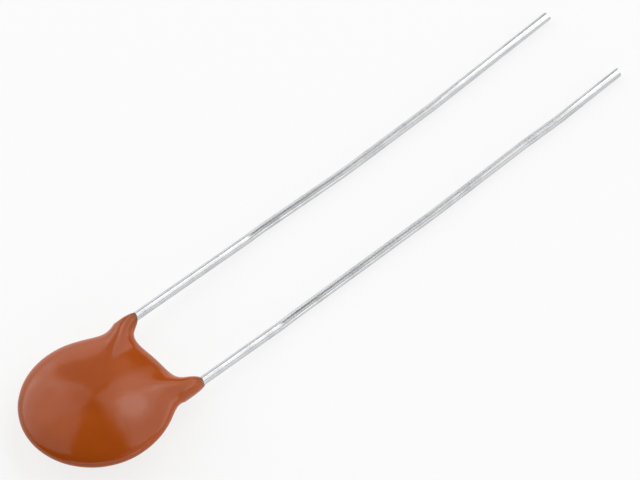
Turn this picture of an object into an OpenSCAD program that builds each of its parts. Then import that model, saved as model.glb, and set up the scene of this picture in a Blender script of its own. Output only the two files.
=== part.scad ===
/* [Ceramic disc] */
// Diameter of the sintered ceramic disc
ceramic_d = 6.8; // [5.8:0.1:8]
// Thickness of the ceramic disc
ceramic_t = 0.5; // [0.3:0.02:0.9]
// Width of the bevel round the ceramic disc's edges
ceramic_bevel = 0.08; // [0.04:0.01:0.12]

/* [Electrodes] */
// Bare ceramic left outside each silver electrode
electrode_margin = 0.35; // [0.2:0.05:0.8]
// Thickness of the fired silver film
electrode_t = 0.03; // [0.02:0.005:0.06]

/* [Leads] */
// Diameter of the tinned wire
lead_d = 0.5; // [0.4:0.05:0.6]
// Distance between the leads where they leave the body
lead_pitch = 5; // [4.5:0.1:5.5]
// How far the middle line of the leads lies off the disc's centre
lead_shift = 0.16; // [0:0.01:0.3]
// Wire lying flat, from the first touch to the tip, on the upper lead
upper_flat = 21.4; // [16:0.1:24]
// Wire lying flat, from the first touch to the tip, on the lower lead
lower_flat = 24.1; // [18:0.1:27]
// Bare end of each wire short of the disc's centre
leg_end = 0.7; // [0.5:0.05:1.2]
// Radius of the bends in the wire
bend_r = 1.6; // [1:0.1:2]
// Small bends along the flat wire of the upper lead, as shares of its length
upper_bend_shares = [0.03, 0.3, 0.6]; // [0.02:0.01:0.9]
// Turn at each of those bends, in degrees to the left
upper_bend_angles = [-2.8, 2.4, 1.6]; // [-4:0.1:4]
// Small bends along the flat wire of the lower lead, as shares of its length
lower_bend_shares = [0.04, 0.44, 0.71, 0.81]; // [0.02:0.01:0.9]
// Turn at each of those bends, in degrees to the left
lower_bend_angles = [-1.3, 1.4, -1.7, 2.6]; // [-4:0.1:4]

/* [Solder] */
// Height of a solder bead over its electrode
solder_h = 0.42; // [0.36:0.01:0.48]
// Solder left between a wire and its electrode
solder_film = 0.03; // [0.02:0.005:0.06]
// Solder beyond the bare end of the wire
solder_lap = 0.3; // [0.1:0.05:0.4]
// Length over which a solder bead tapers at its ends
solder_taper = 0.4; // [0.2:0.05:0.8]
// Bare silver past the outer end of a solder bead
solder_margin = 0.15; // [0.1:0.05:0.4]

/* [Coating] */
// Resin outside the ceramic disc's edge
coat_rim = 0.69; // [0.6:0.01:1]
// Resin over the wires at the middle of the body
coat_cover = 0.43; // [0.4:0.01:0.6]
// Coating run out along the upper lead, past the body's round edge
upper_horn = 0.9; // [0.7:0.01:1.1]
// Coating run out along the lower lead, past the body's round edge
lower_horn = 1.32; // [1.1:0.01:1.5]
// Resin on each side of a lead where it comes out of its horn
horn_wall = 0.15; // [0.13:0.01:0.2]
// Angle at the centre over which a horn widens into the body
horn_flare = 3.8; // [3.4:0.1:4.4]
// How much of the body's fullness is gone at a horn's end
horn_thinning = 0.15; // [0.1:0.01:0.2]

/* [Resting place] */
// How far the body leans down toward its leads, in degrees
rest_pitch = 5.7; // [4.5:0.1:7]
// How far the body leans to the upper lead's side, in degrees
rest_roll = 10.3; // [8:0.1:13]

/* [Hidden] */
$fn = 48;

// Faces of the stack that the wires are soldered to
face_z = ceramic_t / 2 + electrode_t;
electrode_d = ceramic_d - 2 * electrode_margin;
lead_r = lead_d / 2;
lead_z = face_z + solder_film + lead_r;

// Where each wire turns from the disc's face to its own line
coat_r = ceramic_d / 2 + coat_rim;
coat_t = 2 * (lead_z + lead_r + coat_cover);
upper_y = lead_pitch / 2 + lead_shift;
lower_y = lead_pitch / 2 - lead_shift;
function corner_angle(y) = atan2(y, coat_r);
function corner_r(y) = norm([coat_r, y]);

// Ends of the two horns
upper_end = coat_r + upper_horn;
lower_end = coat_r + lower_horn;
upper_end_r = norm([upper_end, upper_y]);
lower_end_r = norm([lower_end, lower_y]);
end_r = (upper_end_r + lower_end_r) / 2;
function horn_rise(end_r) =
    (end_r - coat_r) * (1 + pow(atan2(lead_r + horn_wall, end_r) / horn_flare, 2));

// The coating's shape: a round lens drawn out into two horns that follow the wires
horn_lift_angle = 15;
horn_band_angle = 5;
horn_run_power = 6;
horn_fan_power = 2;
function from_upper(a) = a - corner_angle(upper_y);
function from_lower(a) = a + corner_angle(lower_y);
function near(turn) = 1 / (1 + pow(turn / horn_lift_angle, 2));

// A horn is strongest in a band on its wire's side of the edge, and fans out over the face
function band(tilt) = max(0, sin(tilt));
function horn(turn, band) =
    pow(band, horn_run_power) / (1 + pow(turn * pow(band, horn_fan_power) / horn_flare, 2));
function reach(tilt, a) =
    coat_r * sin(tilt)
    + horn_rise(upper_end_r) * horn(from_upper(a), band(tilt + horn_band_angle))
    + horn_rise(lower_end_r) * horn(from_lower(a), band(tilt - horn_band_angle));

// Beyond the round edge a horn turns into line with its wire
function follow(r, y) = r > corner_r(y) ? asin(y / r) - corner_angle(y) : 0;
function heading(r, a) =
    a
    + follow(r, upper_y) * near(from_upper(a))
    - follow(r, lower_y) * near(from_lower(a));

// Each horn rises to its wire's height, first on the face that the wire lies on
function upper_share(tilt) = min(1, max(0, (1 + 2 * cos(tilt)) / 2));
function rise_share(r_share, share) = pow(r_share, 3) * share + pow(r_share, 6) * (1 - share);
function lift(r, tilt, a) =
    lead_z * rise_share(r / upper_end_r, upper_share(tilt)) * near(from_upper(a))
    - lead_z * rise_share(r / lower_end_r, 1 - upper_share(tilt)) * near(from_lower(a));
function fullness(r) = coat_t / 2 * (1 - horn_thinning * pow(r / end_r, 2));
function skin(tilt, a) =
    let (r = reach(tilt, a), b = heading(r, a))
    [r * cos(b), r * sin(b), lift(r, tilt, a) + fullness(r) * cos(tilt)];

// Net of points over the coating, closer together at the edge and round the horns
net_angles = [
    each [-68:4:-48],
    each [-45:1:-15],
    each [-12:3:15],
    each [18:1:48],
    each [52:4:64],
    each [70:6:286],
];
net_rings = 24;
net_gather = 14;
net_n = len(net_angles);
function ring_tilt(j) = 180 * j / net_rings + net_gather * sin(360 * j / net_rings);
net_points = [
    skin(0, 0),
    for (j = [1:net_rings - 1]) for (a = net_angles) skin(ring_tilt(j), a),
    skin(180, 0),
];
function net(j, i) = 1 + (j - 1) * net_n + i % net_n;
net_faces = [
    for (i = [0:net_n - 1]) [0, net(1, i + 1), net(1, i)],
    for (j = [1:net_rings - 2]) for (i = [0:net_n - 1])
        each [
            [net(j, i), net(j, i + 1), net(j + 1, i + 1)],
            [net(j, i), net(j + 1, i + 1), net(j + 1, i)],
        ],
    for (i = [0:net_n - 1]) [len(net_points) - 1, net(net_rings - 1, i), net(net_rings - 1, i + 1)],
];

// How high the body lies when it leans on the table
function rolled_z(p) = p.z * cos(rest_roll) - p.y * sin(rest_roll);
function leaned_x(p) = p.x * cos(rest_pitch) + rolled_z(p) * sin(rest_pitch);
function leaned_z(p) = rolled_z(p) * cos(rest_pitch) - p.x * sin(rest_pitch);
body_z = -min([for (p = net_points) if (p.x < coat_r) leaned_z(p)]);

// Path of each wire, as [straight run, side it then turns to, angle of the turn]
leg_steps = 5;
touch_steps = 2;
function chord(turn) = 2 * bend_r * tan(turn / 2);
function bend(run, toward, angle, steps) =
    [for (k = [1:steps]) [k == 1 ? run : chord(angle / steps), toward, angle / steps]];
function setback(angle, steps) = bend_r * (tan(angle / 2) - tan(angle / steps / 2));
function leg_run(y) = corner_r(y) - leg_end - setback(corner_angle(y), leg_steps);
function corner_drop(y, z) = body_z + leaned_z([coat_r, y, z]) - lead_r;
function touch_drop() = chord(rest_pitch / touch_steps) * sin(rest_pitch / touch_steps);
function slope_run(y, z) =
    (corner_drop(y, z) - touch_drop()) / sin(rest_pitch) - setback(corner_angle(abs(y)), leg_steps);
function flat_run(flat, shares, k) =
    flat * ((k < len(shares) ? shares[k] : 1) - (k > 0 ? shares[k - 1] : 0));
function flat_path(flat, shares, angles, left) = [
    for (k = [0:len(shares)])
        let (turn = k < len(shares) ? angles[k] : 0)
        [flat_run(flat, shares, k), turn < 0 ? left + 180 : left, abs(turn)],
];
function lead_path(y, z, left, flat, shares, angles) = concat(
    bend(leg_run(abs(y)), 180, corner_angle(abs(y)), leg_steps),
    bend(slope_run(y, z), left + 90, rest_pitch, touch_steps),
    flat_path(flat, shares, angles, left)
);
upper_path = lead_path(upper_y, lead_z, rest_roll, upper_flat, upper_bend_shares, upper_bend_angles);
lower_path =
    lead_path(-lower_y, -lead_z, rest_roll + 180, lower_flat, lower_bend_shares, lower_bend_angles);

// Overall length, for the middle of the part's footprint
function bearing(angles, k) = k < 0 ? 0 : angles[k] + bearing(angles, k - 1);
function flat_x(flat, shares, angles, k = 0) =
    k > len(shares) ? 0
    : flat_run(flat, shares, k) * cos(bearing(angles, k - 1)) + flat_x(flat, shares, angles, k + 1);
function touch_x(y, z) =
    leaned_x([coat_r, y, z]) + (corner_drop(y, z) - touch_drop()) / tan(rest_pitch)
    + chord(rest_pitch / touch_steps) * cos(rest_pitch / touch_steps);
upper_tip_x = touch_x(upper_y, lead_z) + flat_x(upper_flat, upper_bend_shares, upper_bend_angles);
lower_tip_x = touch_x(-lower_y, -lead_z) + flat_x(lower_flat, lower_bend_shares, lower_bend_angles);
back_x = min([for (p = net_points) leaned_x(p)]);
body_x = -(back_x + max(upper_tip_x, lower_tip_x)) / 2;

// A wire along a path, its straight runs mitred where they meet
module bent_wire(path, i = 0) {
    run = path[i][0];
    toward = path[i][1];
    angle = path[i][2];
    side = run + lead_d;
    block = [run + 2 * lead_d, 2 * side, 2 * side];
    intersection() {
        translate([i > 0 ? -lead_d : 0, 0, 0])
            rotate([0, 90, 0])
                cylinder(d = lead_d, h = run + (i > 0 ? lead_d : 0) + (i < len(path) - 1 ? lead_d : 0));
        if (i > 0)
            rotate([path[i - 1][1], 0, 0])
                rotate([0, 0, -path[i - 1][2] / 2])
                    translate([0, -side, -side])
                        cube(block);
        if (i < len(path) - 1)
            translate([run, 0, 0])
                rotate([toward, 0, 0])
                    rotate([0, 0, angle / 2])
                        translate([-block.x, -side, -side])
                            cube(block);
    }
    if (i < len(path) - 1)
        translate([run, 0, 0])
            rotate([toward, 0, 0])
                rotate([0, 0, angle])
                    rotate([-toward, 0, 0])
                        bent_wire(path, i + 1);
}

// Puts a piece drawn round the disc's centre where the leaning body lies
module leaned() {
    translate([body_x, 0, body_z])
        rotate([-rest_roll, rest_pitch, 0])
            children();
}

// Turns a piece drawn for the upper face to the lower face
module lower_face() {
    rotate([180, 0, 0])
        children();
}

module lead_in_body(y, path) {
    rotate([0, 0, corner_angle(y)])
        translate([leg_end, 0, lead_z])
            bent_wire(path);
}

module electrode_in_body() {
    translate([0, 0, ceramic_t / 2])
        cylinder(d = electrode_d, h = electrode_t);
}

module ceramic_in_body() {
    rotate_extrude()
        polygon([
            [0, -ceramic_t / 2],
            [ceramic_d / 2 - ceramic_bevel, -ceramic_t / 2],
            [ceramic_d / 2, -ceramic_t / 2 + ceramic_bevel],
            [ceramic_d / 2, ceramic_t / 2 - ceramic_bevel],
            [ceramic_d / 2 - ceramic_bevel, ceramic_t / 2],
            [0, ceramic_t / 2],
        ]);
}

// Solder bead along a wire's inner leg, before the wire is taken out of it
module bead_in_body(y) {
    from = leg_end - solder_lap;
    to = electrode_d / 2 - solder_margin;
    rotate([0, 0, corner_angle(y)])
        intersection() {
            translate([from, 0, face_z])
                rotate([0, 90, 0])
                    rotate_extrude()
                        polygon([
                            [0, 0],
                            [solder_h / 2, 0],
                            [solder_h, solder_taper],
                            [solder_h, to - from - solder_taper],
                            [solder_h / 2, to - from],
                            [0, to - from],
                        ]);
            translate([0, -coat_r, face_z])
                cube([2 * coat_r, 2 * coat_r, coat_t]);
        }
}

// The dipped resin's outside, ended square on both leads
module coating_outside() {
    difference() {
        polyhedron(net_points, net_faces);
        translate([upper_end, 0, -coat_t])
            cube([coat_r, 2 * coat_r, 2 * coat_t]);
        translate([lower_end, -2 * coat_r, -coat_t])
            cube([coat_r, 2 * coat_r, 2 * coat_t]);
    }
}

module coating() {
    color("#b0602f")
        leaned()
            difference() {
                coating_outside();
                ceramic_in_body();
                electrode_in_body();
                lower_face() electrode_in_body();
                bead_in_body(upper_y);
                lower_face() bead_in_body(lower_y);
                lead_in_body(upper_y, upper_path);
                lower_face() lead_in_body(lower_y, lower_path);
            }
}

module ceramic_disc() {
    color("#d9cbb3")
        leaned()
            ceramic_in_body();
}

module upper_electrode() {
    color("#c9c9c6")
        leaned()
            electrode_in_body();
}

module lower_electrode() {
    color("#c9c9c6")
        leaned()
            lower_face()
                electrode_in_body();
}

module upper_solder() {
    color("#a9abad")
        leaned()
            difference() {
                bead_in_body(upper_y);
                lead_in_body(upper_y, upper_path);
            }
}

module lower_solder() {
    color("#a9abad")
        leaned()
            lower_face()
                difference() {
                    bead_in_body(lower_y);
                    lead_in_body(lower_y, lower_path);
                }
}

module upper_lead() {
    color("#c4c6c8")
        leaned()
            lead_in_body(upper_y, upper_path);
}

module lower_lead() {
    color("#c4c6c8")
        leaned()
            lower_face()
                lead_in_body(lower_y, lower_path);
}

coating();
ceramic_disc();
upper_electrode();
lower_electrode();
upper_solder();
lower_solder();
upper_lead();
lower_lead();
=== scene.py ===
"""Finished pieces of a ceramic disc capacitor: dipped resin body, tinned wires and ceramic stack."""

import math

import bmesh
import bpy
from mathutils import Euler, Matrix, Vector, noise


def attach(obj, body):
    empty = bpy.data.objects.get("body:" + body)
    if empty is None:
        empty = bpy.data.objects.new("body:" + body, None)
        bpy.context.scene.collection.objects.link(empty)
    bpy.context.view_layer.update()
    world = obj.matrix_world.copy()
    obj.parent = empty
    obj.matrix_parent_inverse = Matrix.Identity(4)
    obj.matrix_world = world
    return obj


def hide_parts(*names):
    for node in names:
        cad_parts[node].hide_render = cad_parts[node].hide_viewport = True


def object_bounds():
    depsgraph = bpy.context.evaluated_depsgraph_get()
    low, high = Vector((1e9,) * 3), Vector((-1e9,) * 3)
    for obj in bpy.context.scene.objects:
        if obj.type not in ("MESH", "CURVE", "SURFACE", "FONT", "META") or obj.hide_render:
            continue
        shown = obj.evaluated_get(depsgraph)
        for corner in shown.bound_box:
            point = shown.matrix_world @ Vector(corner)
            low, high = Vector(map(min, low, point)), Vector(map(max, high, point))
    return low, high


bl_info = {
    "name": "Ceramic Disc Capacitor",
    "version": (1, 0, 0),
    "blender": (4, 5, 0),
    "location": "3D View > Sidebar > Capacitor",
    "description": "Resin body, tinned wires, ceramic stack and photo table of a disc capacitor",
    "category": "Object",
}

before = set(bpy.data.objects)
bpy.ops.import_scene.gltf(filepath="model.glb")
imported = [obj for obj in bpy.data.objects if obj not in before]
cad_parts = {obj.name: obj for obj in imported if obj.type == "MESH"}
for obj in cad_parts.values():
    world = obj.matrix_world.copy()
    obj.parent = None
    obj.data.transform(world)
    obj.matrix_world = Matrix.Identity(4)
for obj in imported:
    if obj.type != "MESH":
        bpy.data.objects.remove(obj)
cad_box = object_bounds()

MM = 0.001

# Corners of each wire, from its bare end on the ceramic to its cut tip, in millimetres.
UPPER_WIRE = (
    (-14.7527, 0.4756, 1.8740),
    (-11.3073, 2.7173, 1.1207),
    (-2.5842, 2.7173, 0.25),
    (-1.9023, 2.7173, 0.25),
    (3.8688, 2.4350, 0.25),
    (10.2886, 2.3902, 0.25),
    (18.8468, 2.5695, 0.25),
)
LOWER_WIRE = (
    (-14.8286, -0.4421, 0.9052),
    (-11.3280, -2.4024, 0.9138),
    (-4.6779, -2.4024, 0.25),
    (-3.6740, -2.4024, 0.25),
    (5.9635, -2.6211, 0.25),
    (12.4705, -2.6098, 0.25),
    (14.8796, -2.6771, 0.25),
    (19.4579, -2.5971, 0.25),
)
# The bend that lays a wire on the table is wider than the formed bend at its horn.
LANDING_BEND = 2.2
WIRE_SIDES = 32
BEND_STEP = math.radians(3)
SHARP_ANGLE = math.radians(40)
# The cut stays this far inside a wire's end, and its edge is broken by this much.
TIP_MARGIN = 0.01 * MM
TIP_BEVEL = 0.03 * MM
TIP_CORNERS = 8

# Net of the resin skin. The horns are small, so it is finer within this turn and height of them.
SKIN_TURNS = 216
SKIN_TILTS = 84
HORN_TURN = math.radians(12)
HORN_HEIGHT = 0.75
HORN_CUTS = 2
# A horn starts at this share of the round radius, and is smoothed from this share of its own length.
HORN_START = 0.9
SMOOTH_START = 0.08
SMOOTH_PASSES = 16
# Widths of the slow waves in the resin, and the share of the shorter ones.
LONG_WAVE = 2.6 * MM
SHORT_WAVE = 1.1 * MM
SHORT_SHARE = 0.4

# Soft lights: name, azimuth and elevation of the middle line in degrees, then the left, right, lower and
# upper sides as shares of the distance, the brightness and the shape.
LIGHT_DISTANCE = 0.6
SOFTBOXES = (
    ("left_softbox", 124, 42, (-0.97, 0.58, -0.72, 0.46), 1.0, "RECTANGLE"),
    ("left_middle_softbox", 74, 30, (0.0, 1.5, -0.5, 0.42), 0.5, "RECTANGLE"),
    ("left_low_softbox", 76, 14, (0.0, 1.6, -0.25, 0.3), 0.4, "RECTANGLE"),
    ("left_strip_softbox", 58, 9, (0.0, 1.7, -0.16, 0.16), 0.8, "RECTANGLE"),
    ("right_softbox", -10, 42, (-0.62, 0.9, -0.6, 0.56), 1.55, "RECTANGLE"),
    ("right_front_board", -72, 32, (-0.35, 0.3, -0.35, 0.35), 0.55, "RECTANGLE"),
    ("right_low_softbox", -45, 12, (-0.9, 0.9, -0.21, 0.25), 0.8, "RECTANGLE"),
    ("right_glow", 29, 51, (-0.25, 0.16, -0.25, 0.22), 0.6, "ELLIPSE"),
    ("right_hot_spot", 31, 50, (-0.14, 0.13, -0.14, 0.14), 1.6, "ELLIPSE"),
    ("back_board", 58, 18, (-0.3, 0.34, -0.32, 0.42), 0.5, "RECTANGLE"),
    ("front_board", -120, 12, (-1.0, 1.0, -0.21, 0.25), 1.35, "RECTANGLE"),
)
SENSOR_WIDTH = 36.0


class CapacitorBody(bpy.types.PropertyGroup):
    """Sizes and colours of the dipped resin body"""

    centre: bpy.props.FloatVectorProperty(
        name="Centre",
        description="Middle of the ceramic disc",
        default=(-15.3846 * MM, 0.0, 1.45191 * MM),
        subtype="TRANSLATION",
        unit="LENGTH",
        precision=5,
    )
    round_radius: bpy.props.FloatProperty(
        name="Round radius",
        description="Radius of the round body, without its horns",
        default=4.09 * MM,
        unit="LENGTH",
        precision=5,
    )
    thickness: bpy.props.FloatProperty(
        name="Thickness",
        description="Thickness at the middle of the body",
        default=2.48 * MM,
        unit="LENGTH",
        precision=5,
    )
    pitch: bpy.props.FloatProperty(
        name="Pitch",
        description="Lean of the body down toward its wires",
        default=math.radians(5.7),
        subtype="ANGLE",
    )
    roll: bpy.props.FloatProperty(
        name="Roll",
        description="Lean of the body to the upper wire's side",
        default=math.radians(10.3),
        subtype="ANGLE",
    )
    upper_side: bpy.props.FloatProperty(
        name="Upper wire's side",
        description="Distance of the upper wire from the body's middle line",
        default=2.66 * MM,
        unit="LENGTH",
        precision=5,
    )
    lower_side: bpy.props.FloatProperty(
        name="Lower wire's side",
        description="Distance of the lower wire from the body's middle line",
        default=2.34 * MM,
        unit="LENGTH",
        precision=5,
    )
    upper_end: bpy.props.FloatProperty(
        name="Upper horn's end",
        description="Where the coating ends on the upper wire, from the middle of the body",
        default=4.99 * MM,
        unit="LENGTH",
        precision=5,
    )
    lower_end: bpy.props.FloatProperty(
        name="Lower horn's end",
        description="Where the coating ends on the lower wire, from the middle of the body",
        default=5.41 * MM,
        unit="LENGTH",
        precision=5,
    )
    wire_height: bpy.props.FloatProperty(
        name="Wire height",
        description="Height of each wire's axis over the middle plane of the ceramic",
        default=0.56 * MM,
        unit="LENGTH",
        precision=5,
    )
    horn_width: bpy.props.FloatProperty(
        name="Horn width",
        description="Width of the coating where a wire comes out of it",
        default=0.80 * MM,
        unit="LENGTH",
        precision=5,
    )
    horn_flare: bpy.props.FloatProperty(
        name="Horn flare",
        description="Angle at the centre over which a horn widens into the body",
        default=math.radians(3.8),
        subtype="ANGLE",
    )
    horn_thinning: bpy.props.FloatProperty(
        name="Horn thinning",
        description="Share of the body's fullness that is gone at a horn's end",
        default=0.15,
        subtype="FACTOR",
    )
    horn_lip: bpy.props.FloatProperty(
        name="Horn lip",
        description="Length over which a horn's end rounds in to its wire",
        default=0.35 * MM,
        unit="LENGTH",
        precision=5,
    )
    unevenness: bpy.props.FloatProperty(
        name="Unevenness",
        description="Height of the slow waves that dipping leaves in the resin",
        default=0.022 * MM,
        unit="LENGTH",
        precision=6,
    )
    resin: bpy.props.StringProperty(
        name="Resin",
        description="Colour of the resin, as an sRGB hex value",
        default="#ac4e10",
    )
    resin_dark: bpy.props.StringProperty(
        name="Dark resin",
        description="Colour of the resin where its pigment lies thicker, as an sRGB hex value",
        default="#a0450a",
    )
    resin_thin: bpy.props.StringProperty(
        name="Thin resin",
        description="Colour of the resin where it runs out on a wire, as an sRGB hex value",
        default="#7c4a1c",
    )


class CapacitorWires(bpy.types.PropertyGroup):
    """Sizes and colours of the tinned wires"""

    diameter: bpy.props.FloatProperty(
        name="Diameter",
        description="Diameter of the tinned wire",
        default=0.5 * MM,
        unit="LENGTH",
        precision=5,
    )
    bend_radius: bpy.props.FloatProperty(
        name="Bend radius",
        description="Radius of the formed bends of a wire",
        default=1.6 * MM,
        unit="LENGTH",
        precision=5,
    )
    sway_radius: bpy.props.FloatProperty(
        name="Sway radius",
        description="Radius of the slight bends where the wire lies flat",
        default=14.0 * MM,
        unit="LENGTH",
        precision=5,
    )
    shear: bpy.props.FloatProperty(
        name="Shear",
        description="Slant of the cut at a wire's tip",
        default=math.radians(9.0),
        subtype="ANGLE",
    )
    tin: bpy.props.StringProperty(
        name="Tin",
        description="Colour of the tinned surface, as an sRGB hex value",
        default="#cecfd0",
    )
    tin_dull: bpy.props.StringProperty(
        name="Dull tin",
        description="Colour of the tin where it is dull, as an sRGB hex value",
        default="#bebfc0",
    )


class CapacitorStage(bpy.types.PropertyGroup):
    """Table, lights and camera"""

    table_size: bpy.props.FloatProperty(
        name="Table size",
        description="Side of the square table top",
        default=2.4,
        unit="LENGTH",
    )
    table: bpy.props.StringProperty(
        name="Table",
        description="Colour of the table top, as an sRGB hex value",
        default="#fcfcfc",
    )
    table_glow: bpy.props.FloatProperty(
        name="Table glow",
        description="Share of the table's look that is white of its own where it is looked at",
        default=0.78,
        subtype="FACTOR",
    )
    surround: bpy.props.FloatProperty(
        name="Surround",
        description="Strength of the dim room round the table",
        default=0.05,
    )
    look_at: bpy.props.FloatVectorProperty(
        name="Look at",
        description="Point in the middle of the picture",
        default=(0.331 * MM, 0.2465 * MM, 0.0),
        subtype="TRANSLATION",
        unit="LENGTH",
        precision=5,
    )
    eye: bpy.props.FloatVectorProperty(
        name="Eye",
        description="Place of the camera",
        default=(-74.316 * MM, -87.091 * MM, 222.036 * MM),
        subtype="TRANSLATION",
        unit="LENGTH",
        precision=5,
    )
    lens: bpy.props.FloatProperty(
        name="Lens",
        description="Focal length of the camera, in millimetres on a 36 mm wide sensor",
        default=261.49,
    )


def linear(hex_colour):
    """Scene-linear RGBA of an sRGB hex value."""
    values = [int(hex_colour[i : i + 2], 16) / 255 for i in (1, 3, 5)]
    return [v / 12.92 if v <= 0.04045 else ((v + 0.055) / 1.055) ** 2.4 for v in values] + [1.0]


def add(tree, kind, inputs, **settings):
    """Adds a node to a tree with its settings, its values and its links."""
    node = tree.nodes.new(kind)
    for name, value in settings.items():
        setattr(node, name, value)
    for name, value in inputs.items():
        if isinstance(value, bpy.types.NodeSocket):
            tree.links.new(value, node.inputs[name])
        else:
            node.inputs[name].default_value = value
    return node


def new_material(name):
    """An empty node material and its tree."""
    material = bpy.data.materials.new(name)
    material.use_nodes = True
    material.node_tree.nodes.clear()
    return material, material.node_tree


def dipped_phenolic(body):
    """Phenolic resin, dipped and baked.

    Its pigment lies in slow clouds, and it has a soft gloss, a faint orange peel and a few pits."""
    material, tree = new_material("dipped_phenolic_resin")
    place = add(tree, "ShaderNodeTexCoord", {}).outputs["Object"]
    # Clouds about 2.4 mm wide.
    clouds = add(tree, "ShaderNodeTexNoise", {"Vector": place, "Scale": 1 / (2.4 * MM), "Detail": 3.0})
    cloud_mix = add(
        tree,
        "ShaderNodeMapRange",
        {"Value": clouds.outputs["Fac"], "From Min": 0.2, "From Max": 0.8},
    )
    colour = add(
        tree,
        "ShaderNodeMix",
        {
            "Factor": cloud_mix.outputs["Result"],
            "A": linear(body.resin_dark),
            "B": linear(body.resin),
        },
        data_type="RGBA",
    )
    # Where the resin runs out on a wire it is thin, and looks darker and more olive.
    run_out = add(tree, "ShaderNodeAttribute", {}, attribute_name="run_out")
    thin = add(
        tree,
        "ShaderNodeMapRange",
        {"Value": run_out.outputs["Fac"], "From Min": 0.7, "From Max": 1.0, "To Max": 0.85},
        interpolation_type="SMOOTHSTEP",
    )
    colour = add(
        tree,
        "ShaderNodeMix",
        {
            "Factor": thin.outputs["Result"],
            "A": colour.outputs["Result"],
            "B": linear(body.resin_thin),
        },
        data_type="RGBA",
    )
    # Pits about 0.13 mm wide, a millimetre or two apart, where bubbles broke as the resin baked. Their
    # dark middles are painted shade.
    pit_cells = add(
        tree,
        "ShaderNodeTexVoronoi",
        {"Vector": place, "Scale": 1 / (1.5 * MM), "Randomness": 1.0},
    )
    pit_and_painted_shade = add(
        tree,
        "ShaderNodeMapRange",
        {"Value": pit_cells.outputs["Distance"], "From Min": 0.02, "From Max": 0.045},
        interpolation_type="SMOOTHSTEP",
    )
    # Painted shade: each pit is coloured darker towards its middle, while the same mask sinks it as
    # relief.
    colour = add(
        tree,
        "ShaderNodeMix",
        {
            "Factor": pit_and_painted_shade.outputs["Result"],
            "A": linear("#6e3410"),
            "B": colour.outputs["Result"],
        },
        data_type="RGBA",
    )
    # Orange peel about 0.7 mm wide, with a finer grain of 0.12 mm in it.
    peel = add(tree, "ShaderNodeTexNoise", {"Vector": place, "Scale": 1 / (0.7 * MM), "Detail": 2.0})
    grain = add(tree, "ShaderNodeTexNoise", {"Vector": place, "Scale": 1 / (0.12 * MM), "Detail": 1.0})
    height = add(
        tree,
        "ShaderNodeMath",
        {0: grain.outputs["Fac"], 1: 0.12, 2: peel.outputs["Fac"]},
        operation="MULTIPLY_ADD",
    )
    height = add(
        tree,
        "ShaderNodeMath",
        {0: pit_and_painted_shade.outputs["Result"], 1: 2.0, 2: height.outputs["Value"]},
        operation="MULTIPLY_ADD",
    )
    relief = add(
        tree,
        "ShaderNodeBump",
        {"Height": height.outputs["Value"], "Strength": 1.0, "Distance": 0.008 * MM},
    )
    gloss = add(
        tree,
        "ShaderNodeMapRange",
        {
            "Value": clouds.outputs["Fac"],
            "From Min": 0.2,
            "From Max": 0.8,
            "To Min": 0.13,
            "To Max": 0.17,
        },
        interpolation_type="SMOOTHSTEP",
    )
    shader = add(
        tree,
        "ShaderNodeBsdfPrincipled",
        {
            "Base Color": colour.outputs["Result"],
            "Roughness": gloss.outputs["Result"],
            "IOR": 1.40,
            "Normal": relief.outputs["Normal"],
        },
    )
    add(tree, "ShaderNodeOutputMaterial", {"Surface": shader.outputs["BSDF"]})
    return material


def tinned_wire(wires):
    """Hot-tinned drawn wire: bright metal with fine draw lines along it and duller patches."""
    material, tree = new_material("tinned_wire")
    place = add(tree, "ShaderNodeTexCoord", {}).outputs["Object"]
    # Draw lines run along the wire; 0.08 mm apart here so that they show.
    along = add(tree, "ShaderNodeMapping", {"Vector": place, "Scale": (0.03, 1.0, 1.0)})
    lines = add(
        tree,
        "ShaderNodeTexNoise",
        {"Vector": along.outputs["Vector"], "Scale": 1 / (0.08 * MM), "Detail": 2.0},
    )
    # Dull patches about 0.9 mm long, as handling leaves them.
    patches = add(tree, "ShaderNodeTexNoise", {"Vector": place, "Scale": 1 / (0.9 * MM), "Detail": 3.0})
    dull = add(
        tree,
        "ShaderNodeMapRange",
        {"Value": patches.outputs["Fac"], "From Min": 0.45, "From Max": 0.7},
    )
    colour = add(
        tree,
        "ShaderNodeMix",
        {"Factor": dull.outputs["Result"], "A": linear(wires.tin), "B": linear(wires.tin_dull)},
        data_type="RGBA",
    )
    roughness = add(
        tree,
        "ShaderNodeMapRange",
        {
            "Value": patches.outputs["Fac"],
            "From Min": 0.3,
            "From Max": 0.7,
            "To Min": 0.2,
            "To Max": 0.28,
        },
    )
    height = add(
        tree,
        "ShaderNodeMath",
        {0: patches.outputs["Fac"], 1: 2.0, 2: lines.outputs["Fac"]},
        operation="MULTIPLY_ADD",
    )
    relief = add(
        tree,
        "ShaderNodeBump",
        {"Height": height.outputs["Value"], "Strength": 1.0, "Distance": 0.0012 * MM},
    )
    shader = add(
        tree,
        "ShaderNodeBsdfPrincipled",
        {
            "Base Color": colour.outputs["Result"],
            "Metallic": 1.0,
            "Roughness": roughness.outputs["Result"],
            "Normal": relief.outputs["Normal"],
        },
    )
    add(tree, "ShaderNodeOutputMaterial", {"Surface": shader.outputs["BSDF"]})
    return material


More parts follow.
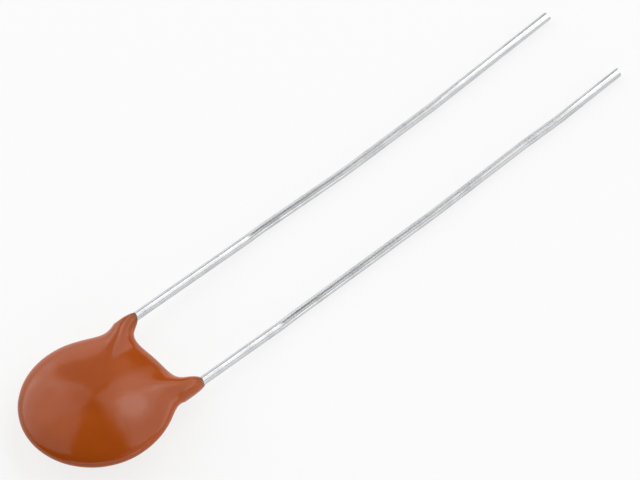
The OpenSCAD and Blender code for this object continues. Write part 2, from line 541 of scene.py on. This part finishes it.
def sintered_titanate():
    """Sintered titanate ceramic: dry, cream, with the fine grain that firing leaves."""
    material, tree = new_material("sintered_titanate_ceramic")
    place = add(tree, "ShaderNodeTexCoord", {}).outputs["Object"]
    grain = add(tree, "ShaderNodeTexNoise", {"Vector": place, "Scale": 1 / (0.05 * MM), "Detail": 3.0})
    colour = add(
        tree,
        "ShaderNodeMix",
        {"Factor": grain.outputs["Fac"], "A": linear("#cdbb9c"), "B": linear("#e4d8c3")},
        data_type="RGBA",
    )
    relief = add(
        tree,
        "ShaderNodeBump",
        {"Height": grain.outputs["Fac"], "Strength": 1.0, "Distance": 0.004 * MM},
    )
    shader = add(
        tree,
        "ShaderNodeBsdfPrincipled",
        {
            "Base Color": colour.outputs["Result"],
            "Roughness": 0.72,
            "IOR": 1.6,
            "Normal": relief.outputs["Normal"],
        },
    )
    add(tree, "ShaderNodeOutputMaterial", {"Surface": shader.outputs["BSDF"]})
    return material


def fired_silver():
    """Silver paste, screened on and fired: matt pale metal with a faint screen texture."""
    material, tree = new_material("fired_silver_film")
    place = add(tree, "ShaderNodeTexCoord", {}).outputs["Object"]
    screen = add(tree, "ShaderNodeTexNoise", {"Vector": place, "Scale": 1 / (0.09 * MM), "Detail": 2.0})
    colour = add(
        tree,
        "ShaderNodeMix",
        {"Factor": screen.outputs["Fac"], "A": linear("#bdbcb8"), "B": linear("#dcdbd7")},
        data_type="RGBA",
    )
    relief = add(
        tree,
        "ShaderNodeBump",
        {"Height": screen.outputs["Fac"], "Strength": 1.0, "Distance": 0.003 * MM},
    )
    shader = add(
        tree,
        "ShaderNodeBsdfPrincipled",
        {
            "Base Color": colour.outputs["Result"],
            "Metallic": 1.0,
            "Roughness": 0.48,
            "Normal": relief.outputs["Normal"],
        },
    )
    add(tree, "ShaderNodeOutputMaterial", {"Surface": shader.outputs["BSDF"]})
    return material


def tin_solder():
    """Tin solder, flowed and set: grey bright metal with slow ripples and duller grain."""
    material, tree = new_material("tin_solder")
    place = add(tree, "ShaderNodeTexCoord", {}).outputs["Object"]
    ripple = add(tree, "ShaderNodeTexNoise", {"Vector": place, "Scale": 1 / (0.3 * MM), "Detail": 3.0})
    colour = add(
        tree,
        "ShaderNodeMix",
        {"Factor": ripple.outputs["Fac"], "A": linear("#8f9194"), "B": linear("#b9bbbd")},
        data_type="RGBA",
    )
    relief = add(
        tree,
        "ShaderNodeBump",
        {"Height": ripple.outputs["Fac"], "Strength": 1.0, "Distance": 0.01 * MM},
    )
    shader = add(
        tree,
        "ShaderNodeBsdfPrincipled",
        {
            "Base Color": colour.outputs["Result"],
            "Metallic": 1.0,
            "Roughness": 0.34,
            "Normal": relief.outputs["Normal"],
        },
    )
    add(tree, "ShaderNodeOutputMaterial", {"Surface": shader.outputs["BSDF"]})
    return material


def white_board(stage):
    """Matt white board of the photo table, which looks white where nothing shades it."""
    material, tree = new_material("white_board")
    path = add(tree, "ShaderNodeLightPath", {})
    seen = add(
        tree,
        "ShaderNodeMath",
        {0: path.outputs["Is Camera Ray"], 1: path.outputs["Is Glossy Ray"]},
        operation="MAXIMUM",
    )
    share = add(
        tree,
        "ShaderNodeMath",
        {0: seen.outputs["Value"], 1: stage.table_glow},
        operation="MULTIPLY",
    )
    board = add(tree, "ShaderNodeBsdfDiffuse", {"Color": linear(stage.table)})
    glow = add(tree, "ShaderNodeEmission", {"Color": (1.0, 1.0, 1.0, 1.0), "Strength": 1.0})
    surface = add(
        tree,
        "ShaderNodeMixShader",
        {0: share.outputs["Value"], 1: board.outputs["BSDF"], 2: glow.outputs["Emission"]},
    )
    add(tree, "ShaderNodeOutputMaterial", {"Surface": surface.outputs["Shader"]})
    return material


def finish_piece(mesh_builder, name, material):
    """Turns a bmesh into a smooth-shaded object at the origin."""
    mesh = bpy.data.meshes.new(name)
    mesh_builder.to_mesh(mesh)
    mesh_builder.free()
    mesh.materials.append(material)
    mesh.shade_smooth()
    piece = bpy.data.objects.new(name, mesh)
    bpy.context.scene.collection.objects.link(piece)
    return piece


class ResinSkin:
    """The coating's outside: a round lens drawn out into a horn along each wire."""

    # Turn within which a horn lifts the skin, and the tilt of each horn's band off the body's edge.
    lift_angle = math.radians(15)
    band_angle = math.radians(5)
    # How fast a horn fades over the face, and how fast it fans out there.
    run_power = 6
    fan_power = 2
    # A horn lifts early on its own wire's face and late on the other.
    early_power = 3
    late_power = 6
    # Distance from the wire's axis at which the resin ends on it.
    feather = 0.28 * MM

    def __init__(self, body):
        self.body = body
        self.upper_turn = math.atan2(body.upper_side, body.round_radius)
        self.lower_turn = math.atan2(body.lower_side, body.round_radius)
        self.upper_reach = math.hypot(body.upper_end, body.upper_side)
        self.lower_reach = math.hypot(body.lower_end, body.lower_side)

    def near(self, turn):
        """Share of a horn's lift at a turn away from it."""
        return 1 / (1 + (turn / self.lift_angle) ** 2)

    def horn(self, turn, tilt, reach):
        """Length of a horn in one direction: longest along the edge, and fanned out over the face."""
        body = self.body
        band = max(0.0, math.sin(tilt))
        end_turn = math.atan2(body.horn_width / 2, reach)
        rise = (reach - body.round_radius) * (1 + (end_turn / body.horn_flare) ** 2)
        fan = 1 + (turn * band**self.fan_power / body.horn_flare) ** 2
        return rise * band**self.run_power / fan

    def follow(self, radius, side):
        """Turn that keeps a horn in line with its wire beyond the round edge."""
        if radius <= math.hypot(self.body.round_radius, side):
            return 0.0
        return math.asin(side / radius) - math.atan2(side, self.body.round_radius)

    def point(self, tilt, turn):
        """Place on the skin, by the tilt from the body's axis and the turn round it."""
        body = self.body
        to_upper = turn - self.upper_turn
        to_lower = turn + self.lower_turn
        radius = body.round_radius * math.sin(tilt)
        radius += self.horn(to_upper, tilt + self.band_angle, self.upper_reach)
        radius += self.horn(to_lower, tilt - self.band_angle, self.lower_reach)
        heading = turn
        heading += self.follow(radius, body.upper_side) * self.near(to_upper)
        heading -= self.follow(radius, body.lower_side) * self.near(to_lower)
        # Each horn rises to its wire's height, first on the face that the wire lies on.
        up = max(0.0, min(1.0, 0.5 + math.cos(tilt)))
        upper_share = radius / self.upper_reach
        lower_share = radius / self.lower_reach
        upper_lift = upper_share**self.early_power * up + upper_share**self.late_power * (1 - up)
        lower_lift = lower_share**self.early_power * (1 - up) + lower_share**self.late_power * up
        lift = body.wire_height * (upper_lift * self.near(to_upper) - lower_lift * self.near(to_lower))
        out_share = 2 * radius / (self.upper_reach + self.lower_reach)
        fullness = body.thickness / 2 * (1 - body.horn_thinning * out_share**2)
        return Vector(
            (
                radius * math.cos(heading),
                radius * math.sin(heading),
                lift + fullness * math.cos(tilt),
            )
        )

    def run_out(self, point):
        """Draws a horn's end in to its wire, where the resin feathers out."""
        body = self.body
        upper = point.y > 0
        end = body.upper_end if upper else body.lower_end
        past = point.x - (end - body.horn_lip)
        if past <= 0:
            return point
        x = end - body.horn_lip + body.horn_lip * math.tanh(past / body.horn_lip)
        side = body.upper_side if upper else -body.lower_side
        height = body.wire_height if upper else -body.wire_height
        axis = Vector((side, height))
        off = Vector((point.y, point.z)) - axis
        share = (x - end + body.horn_lip) / body.horn_lip
        share = share * share * (3 - 2 * share)
        width = off.length
        if width > self.feather:
            off *= (width + (self.feather - width) * share) / width
        return Vector((x, axis.x + off.x, axis.y + off.y))


class CAPACITOR_OT_body(bpy.types.Operator):
    """Models the dipped resin body over the ceramic stack"""

    bl_idname = "capacitor.body"
    bl_label = "Resin body"
    bl_options = {"REGISTER", "UNDO"}

    def execute(self, context):
        body = context.scene.capacitor_body
        skin = ResinSkin(body)
        bm = bmesh.new()
        bmesh.ops.create_uvsphere(bm, u_segments=SKIN_TURNS, v_segments=SKIN_TILTS, radius=1.0)
        horn_edges = []
        for edge in bm.edges:
            middle = (edge.verts[0].co + edge.verts[1].co) / 2
            turn = math.atan2(middle.y, middle.x)
            by_horn = min(abs(turn - skin.upper_turn), abs(turn + skin.lower_turn))
            if by_horn < HORN_TURN and abs(middle.z) < HORN_HEIGHT:
                horn_edges.append(edge)
        if not horn_edges:
            raise RuntimeError("No edges were found where the horns should be")
        bmesh.ops.subdivide_edges(bm, edges=horn_edges, cuts=HORN_CUTS, use_grid_fill=True)
        run_out = bm.verts.layers.float.new("run_out")
        horn_start = body.round_radius * HORN_START
        for vert in bm.verts:
            way = vert.co.normalized()
            point = skin.point(math.acos(max(-1.0, min(1.0, way.z))), math.atan2(way.y, way.x))
            vert.co = skin.run_out(point)
            end = body.upper_end if point.y > 0 else body.lower_end
            past_start = (vert.co.x - horn_start) / (end - horn_start)
            vert[run_out] = max(0.0, min(1.0, past_start))
        # The wet resin's own tension draws the horns smooth.
        horns = [vert for vert in bm.verts if vert[run_out] > SMOOTH_START]
        for _ in range(SMOOTH_PASSES):
            bmesh.ops.smooth_vert(
                bm, verts=horns, factor=0.5, use_axis_x=True, use_axis_y=True, use_axis_z=True
            )
        bmesh.ops.recalc_face_normals(bm, faces=bm.faces)
        bm.normal_update()
        moves = []
        for vert in bm.verts:
            slow = noise.noise(vert.co / LONG_WAVE) + SHORT_SHARE * noise.noise(vert.co / SHORT_WAVE)
            moves.append(vert.normal * (slow * body.unevenness * (1 - vert[run_out])))
        for vert, move in zip(bm.verts, moves):
            vert.co += move
        lean = Euler((-body.roll, body.pitch, 0.0)).to_matrix().to_4x4()
        place = Matrix.Translation(body.centre) @ lean
        bmesh.ops.transform(bm, matrix=place, verts=bm.verts)
        # The body rests on the table, so no wave goes below it.
        for vert in bm.verts:
            vert.co.z = max(vert.co.z, cad_box[0][2])
        piece = finish_piece(bm, "resin_coating", dipped_phenolic(body))
        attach(piece, "root")
        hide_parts("coating")
        return {"FINISHED"}


def wire_along(corners, radius, bend_radii, shear):
    """A wire of round section: straight runs drawn out of a circle, with each bend spun."""
    points = [Vector(c) * MM for c in corners]
    ways = [(b - a).normalized() for a, b in zip(points, points[1:])]
    bm = bmesh.new()
    loop = bmesh.ops.create_circle(bm, cap_ends=True, segments=WIRE_SIDES, radius=radius)["verts"]
    turn = Vector((0, 0, 1)).rotation_difference(ways[0]).to_matrix().to_4x4()
    bmesh.ops.transform(bm, matrix=Matrix.Translation(points[0]) @ turn, verts=loop)
    edges = bm.edges[:]
    position = points[0]
    for i, way in enumerate(ways):
        last = i == len(ways) - 1
        angle = 0.0 if last else way.angle(ways[i + 1])
        back = 0.0 if last else bend_radii[i] * math.tan(angle / 2)
        stop = points[i + 1] - way * back
        drawn = bmesh.ops.extrude_edge_only(bm, edges=edges)["geom"]
        verts = [g for g in drawn if isinstance(g, bmesh.types.BMVert)]
        edges = [g for g in drawn if isinstance(g, bmesh.types.BMEdge)]
        bmesh.ops.translate(bm, vec=stop - position, verts=verts)
        if last:
            break
        axis = way.cross(ways[i + 1]).normalized()
        centre = stop + axis.cross(way) * bend_radii[i]
        steps = max(2, math.ceil(angle / BEND_STEP))
        spun = bmesh.ops.spin(
            bm, geom=verts + edges, cent=centre, axis=axis, angle=angle, steps=steps, use_duplicate=False
        )["geom_last"]
        edges = [g for g in spun if isinstance(g, bmesh.types.BMEdge)]
        position = points[i + 1] + ways[i + 1] * back
    # The cutters leave the tip a little slanted.
    slant = Matrix.Rotation(shear, 3, "Z") @ ways[-1]
    cut_at = points[-1] - ways[-1] * (radius * math.tan(abs(shear)) + TIP_MARGIN)
    geom = bm.verts[:] + bm.edges[:] + bm.faces[:]
    cut = bmesh.ops.bisect_plane(
        bm, geom=geom, plane_co=cut_at, plane_no=slant, clear_outer=True
    )["geom_cut"]
    rim = [g for g in cut if isinstance(g, bmesh.types.BMEdge)]
    bmesh.ops.edgeloop_fill(bm, edges=rim)
    bmesh.ops.recalc_face_normals(bm, faces=bm.faces)
    # Only the faces at the two ends have many corners.
    tip_rims = [e for e in bm.edges if any(len(f.verts) > TIP_CORNERS for f in e.link_faces)]
    bmesh.ops.bevel(
        bm, geom=tip_rims, offset=TIP_BEVEL, affect="EDGES", segments=2, profile=0.5, material=-1
    )
    return bm


class CAPACITOR_OT_wires(bpy.types.Operator):
    """Models the two tinned wires"""

    bl_idname = "capacitor.wires"
    bl_label = "Tinned wires"
    bl_options = {"REGISTER", "UNDO"}

    def execute(self, context):
        wires = context.scene.capacitor_wires
        material = tinned_wire(wires)
        for name, node, corners, shear in (
            ("upper_wire", "upper_lead", UPPER_WIRE, wires.shear),
            ("lower_wire", "lower_lead", LOWER_WIRE, -wires.shear),
        ):
            radii = [wires.bend_radius, LANDING_BEND * wires.bend_radius]
            bends = len(corners) - 2
            radii += [wires.sway_radius] * (bends - len(radii))
            bm = wire_along(corners, wires.diameter / 2, radii, shear)
            if not bm.faces:
                raise RuntimeError("The wire came out empty")
            piece = finish_piece(bm, name, material)
            piece.data.set_sharp_from_angle(angle=SHARP_ANGLE)
            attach(piece, "root")
            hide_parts(node)
        return {"FINISHED"}


class CAPACITOR_OT_stack(bpy.types.Operator):
    """Finishes the ceramic disc, its silver electrodes and its solder beads inside the body"""

    bl_idname = "capacitor.stack"
    bl_label = "Ceramic stack"
    bl_options = {"REGISTER", "UNDO"}

    def execute(self, context):
        finishes = {
            "ceramic_disc": sintered_titanate(),
            "upper_electrode": fired_silver(),
            "upper_solder": tin_solder(),
        }
        finishes["lower_electrode"] = finishes["upper_electrode"]
        finishes["lower_solder"] = finishes["upper_solder"]
        for name, material in finishes.items():
            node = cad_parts[name]
            node.data.materials.clear()
            node.data.materials.append(material)
        return {"FINISHED"}


def softbox(name, azimuth, elevation, sides, radiance, shape):
    """A flat soft light of even brightness that faces the table's middle.

    Its left, right, lower and upper sides are given as shares of its distance, from the middle line."""
    left, right, lower, upper = (side * LIGHT_DISTANCE for side in sides)
    lamp = bpy.data.lights.new(name, "AREA")
    lamp.shape = shape
    lamp.size = right - left
    lamp.size_y = upper - lower
    area = lamp.size * lamp.size_y * (math.pi / 4 if shape == "ELLIPSE" else 1)
    lamp.energy = radiance * math.pi * area
    turn = Euler((0.0, -math.radians(elevation), math.radians(azimuth))).to_matrix()
    out, along, up = (turn @ axis for axis in (Vector((1, 0, 0)), Vector((0, 1, 0)), Vector((0, 0, 1))))
    light = bpy.data.objects.new(name, lamp)
    light.location = out * LIGHT_DISTANCE + along * (left + right) / 2 + up * (lower + upper) / 2
    light.rotation_euler = Matrix((along, up, out)).transposed().to_euler()
    bpy.context.scene.collection.objects.link(light)


class CAPACITOR_OT_stage(bpy.types.Operator):
    """Sets the white table, the soft lights and the camera"""

    bl_idname = "capacitor.stage"
    bl_label = "Table, lights and camera"
    bl_options = {"REGISTER", "UNDO"}

    def execute(self, context):
        scene = context.scene
        stage = scene.capacitor_stage
        scene.view_settings.view_transform = "Standard"
        bm = bmesh.new()
        bmesh.ops.create_grid(bm, x_segments=1, y_segments=1, size=stage.table_size / 2)
        table = finish_piece(bm, "table", white_board(stage))

        world = bpy.data.worlds.new("dim_room")
        scene.world = world
        world.use_nodes = True
        world.node_tree.nodes.clear()
        room = add(
            world.node_tree,
            "ShaderNodeBackground",
            {"Color": (1.0, 1.0, 1.0, 1.0), "Strength": stage.surround},
        )
        add(world.node_tree, "ShaderNodeOutputWorld", {"Surface": room.outputs["Background"]})

        for settings in SOFTBOXES:
            softbox(*settings)

        lens = bpy.data.cameras.new("camera")
        lens.sensor_width = SENSOR_WIDTH
        lens.sensor_fit = "HORIZONTAL"
        lens.lens = stage.lens
        camera = bpy.data.objects.new("camera", lens)
        eye = Vector(stage.eye)
        camera.location = eye
        camera.rotation_euler = (eye - Vector(stage.look_at)).to_track_quat("Z", "Y").to_euler()
        scene.collection.objects.link(camera)
        scene.camera = camera
        return {"FINISHED"}


class CAPACITOR_PT_sidebar(bpy.types.Panel):
    """Lists the capacitor's pieces and their settings"""

    bl_idname = "CAPACITOR_PT_sidebar"
    bl_label = "Ceramic disc capacitor"
    bl_space_type = "VIEW_3D"
    bl_region_type = "UI"
    bl_category = "Capacitor"

    def draw(self, context):
        scene = context.scene
        for operator in (CAPACITOR_OT_body, CAPACITOR_OT_wires, CAPACITOR_OT_stack, CAPACITOR_OT_stage):
            self.layout.operator(operator.bl_idname)
        for group in (scene.capacitor_body, scene.capacitor_wires, scene.capacitor_stage):
            box = self.layout.box()
            for name in group.bl_rna.properties.keys():
                if name not in ("rna_type", "name"):
                    box.prop(group, name)


CLASSES = (
    CapacitorBody,
    CapacitorWires,
    CapacitorStage,
    CAPACITOR_OT_body,
    CAPACITOR_OT_wires,
    CAPACITOR_OT_stack,
    CAPACITOR_OT_stage,
    CAPACITOR_PT_sidebar,
)


def register():
    """Registers the classes and hangs their settings on the scene."""
    for cls in CLASSES:
        bpy.utils.register_class(cls)
    bpy.types.Scene.capacitor_body = bpy.props.PointerProperty(type=CapacitorBody)
    bpy.types.Scene.capacitor_wires = bpy.props.PointerProperty(type=CapacitorWires)
    bpy.types.Scene.capacitor_stage = bpy.props.PointerProperty(type=CapacitorStage)


def unregister():
    """Takes the settings and the classes away again."""
    del bpy.types.Scene.capacitor_stage
    del bpy.types.Scene.capacitor_wires
    del bpy.types.Scene.capacitor_body
    for cls in reversed(CLASSES):
        bpy.utils.unregister_class(cls)


def main():
    """Builds the pieces and the stage."""
    register()
    bpy.ops.capacitor.body()
    bpy.ops.capacitor.wires()
    bpy.ops.capacitor.stack()
    bpy.ops.capacitor.stage()


if __name__ == "__main__":
    main()
